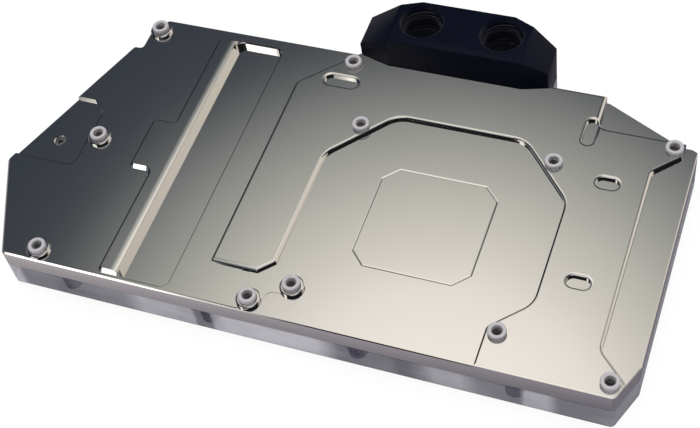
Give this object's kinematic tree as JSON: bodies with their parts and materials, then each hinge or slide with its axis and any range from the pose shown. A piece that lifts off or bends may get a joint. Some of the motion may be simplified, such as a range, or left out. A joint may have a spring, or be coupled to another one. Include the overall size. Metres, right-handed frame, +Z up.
{
  "type": "graphics card cold plate",
  "caption": "Stepped nickel-plated cold plate for a graphics card, with a clear cover and a black terminal that has two threaded coolant ports.",
  "frame": {"origin": "middle of the bounding box, on the cover's lower face", "axes": "+X along the block's length, towards the end away from the pointed one; +Y towards the terminal; +Z up out of the card side"},
  "size_m": [0.1982, 0.112, 0.0265],
  "materials": {
    "nickel": "polished nickel plating",
    "clear_acrylic": "clear",
    "black_acetal": "satin",
    "nylon": "translucent",
    "steel": "plain",
    "seal_rubber": "matt"
  },
  "bodies": {
    "root": {"cold_plate": "nickel", "acrylic_cover": "clear_acrylic", "main_gasket": "seal_rubber", "jet_plate": "steel", "terminal": "black_acetal", "port_gasket_1": "seal_rubber", "port_gasket_2": "seal_rubber", "cover_screws": "steel", "terminal_screws": "steel", "washer_1": "nylon", "washer_2": "nylon", "washer_3": "nylon", "washer_4": "nylon", "washer_5": "nylon", "washer_6": "nylon", "washer_7": "nylon", "washer_8": "nylon", "washer_9": "nylon", "washer_10": "nylon", "washer_11": "nylon"}
  },
  "joints": []
}
